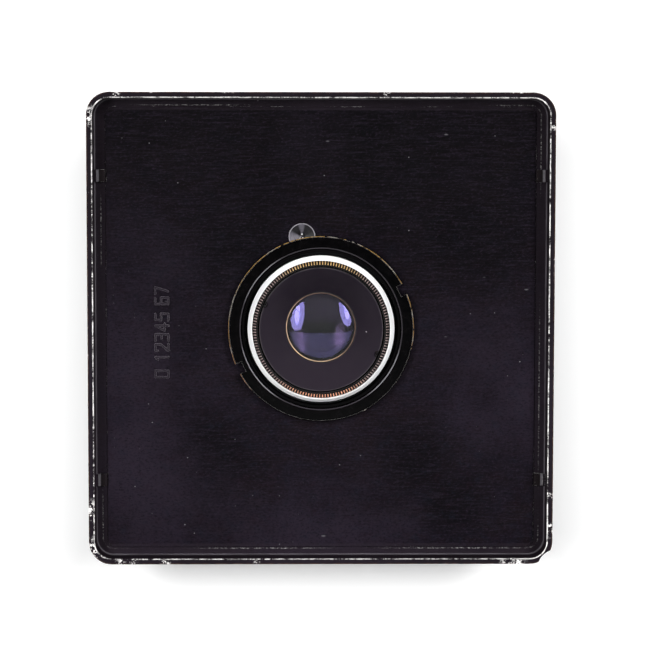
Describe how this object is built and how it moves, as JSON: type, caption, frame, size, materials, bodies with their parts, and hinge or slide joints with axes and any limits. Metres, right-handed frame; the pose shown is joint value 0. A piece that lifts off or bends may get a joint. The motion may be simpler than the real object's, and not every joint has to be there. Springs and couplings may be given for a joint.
{
  "type": "enlarger lens",
  "caption": "Photographic enlarging lens held by a notched retaining ring in a black cast pan-shaped square lens board.",
  "frame": {"origin": "centre of the front rim, on the optical axis, where the lens stands face down", "axes": "+Z along the optical axis towards the rear of the lens and the negative; +Y along the longer side of the board, towards the side with the stud; +X to the right when the rear is looked at"},
  "size_m": [0.1446, 0.1466, 0.0446],
  "materials": {
    "board_black": "satin black enamel on cast aluminium, worn to bare metal at the edges",
    "stud_black": "turned, blackened, gloss",
    "ring_enamel": "gloss black enamel on brass, worn edges",
    "barrel_black": "satin black anodised",
    "collar_bright": "bright satin",
    "cell_black": "black over brass, worn on the flute crests",
    "hood_black": "fine satin black",
    "glass_ring_black": "black over brass, worn inner edge",
    "coated_glass": "polished, blue-violet coating",
    "iris_metal": "matt black anodised",
    "blade_steel": "blued spring steel",
    "figure_paint": "filled paint",
    "small_steel": "plain steel"
  },
  "bodies": {
    "lens_body": {"lens_board": "board_black", "index_stud": "stud_black", "retaining_ring": "ring_enamel", "main_barrel": "barrel_black", "front_sleeve": "barrel_black", "front_cell_mount": "barrel_black", "bright_collar": "collar_bright", "rear_cell_mount": "cell_black", "rear_hood": "hood_black", "front_bezel_ring": "hood_black", "rear_spacer": "hood_black", "front_spacer": "hood_black", "rear_glass_ring": "glass_ring_black", "front_glass_ring": "glass_ring_black", "rear_outer_element": "coated_glass", "rear_doublet_crown": "coated_glass", "rear_doublet_flint": "coated_glass", "front_outer_element": "coated_glass", "front_doublet_crown": "coated_glass", "front_doublet_flint": "coated_glass", "iris_base_plate": "iris_metal", "iris_lock_ring": "iris_metal", "aperture_index": "figure_paint", "sleeve_screws": "small_steel", "click_ball": "small_steel", "click_spring": "small_steel"},
    "ring_body": {"aperture_ring": "barrel_black", "aperture_numbers": "figure_paint", "drive_screw": "small_steel", "iris_actuator_ring": "iris_metal"},
    "blade_1_body": {"iris_blade_1": "blade_steel"},
    "blade_2_body": {"iris_blade_2": "blade_steel"},
    "blade_3_body": {"iris_blade_3": "blade_steel"},
    "blade_4_body": {"iris_blade_4": "blade_steel"},
    "blade_5_body": {"iris_blade_5": "blade_steel"}
  },
  "joints": [
    {"name": "aperture_ring_turn", "type": "hinge", "parent": "lens_body", "child": "ring_body", "pos_m": [0, 0, 0.023], "axis": [0, 0, 1], "range_deg": [0, 60]},
    {"name": "blade_1_swing", "type": "hinge", "parent": "lens_body", "child": "blade_1_body", "pos_m": [0.0175, 0, 0.0205], "axis": [0, 0, 1], "range_deg": [0, 28.35]},
    {"name": "blade_2_swing", "type": "hinge", "parent": "lens_body", "child": "blade_2_body", "pos_m": [0.00541, 0.01664, 0.0205], "axis": [0, 0, 1], "range_deg": [0, 28.35]},
    {"name": "blade_3_swing", "type": "hinge", "parent": "lens_body", "child": "blade_3_body", "pos_m": [-0.01416, 0.01029, 0.0205], "axis": [0, 0, 1], "range_deg": [0, 28.35]},
    {"name": "blade_4_swing", "type": "hinge", "parent": "lens_body", "child": "blade_4_body", "pos_m": [-0.01416, -0.01029, 0.0205], "axis": [0, 0, 1], "range_deg": [0, 28.35]},
    {"name": "blade_5_swing", "type": "hinge", "parent": "lens_body", "child": "blade_5_body", "pos_m": [0.00541, -0.01664, 0.0205], "axis": [0, 0, 1], "range_deg": [0, 28.35]}
  ],
  "couplings": [
    {"joint": "blade_1_swing", "follows": "aperture_ring_turn", "ratio": 0.47167},
    {"joint": "blade_2_swing", "follows": "aperture_ring_turn", "ratio": 0.47167},
    {"joint": "blade_3_swing", "follows": "aperture_ring_turn", "ratio": 0.47167},
    {"joint": "blade_4_swing", "follows": "aperture_ring_turn", "ratio": 0.47167},
    {"joint": "blade_5_swing", "follows": "aperture_ring_turn", "ratio": 0.47167}
  ]
}
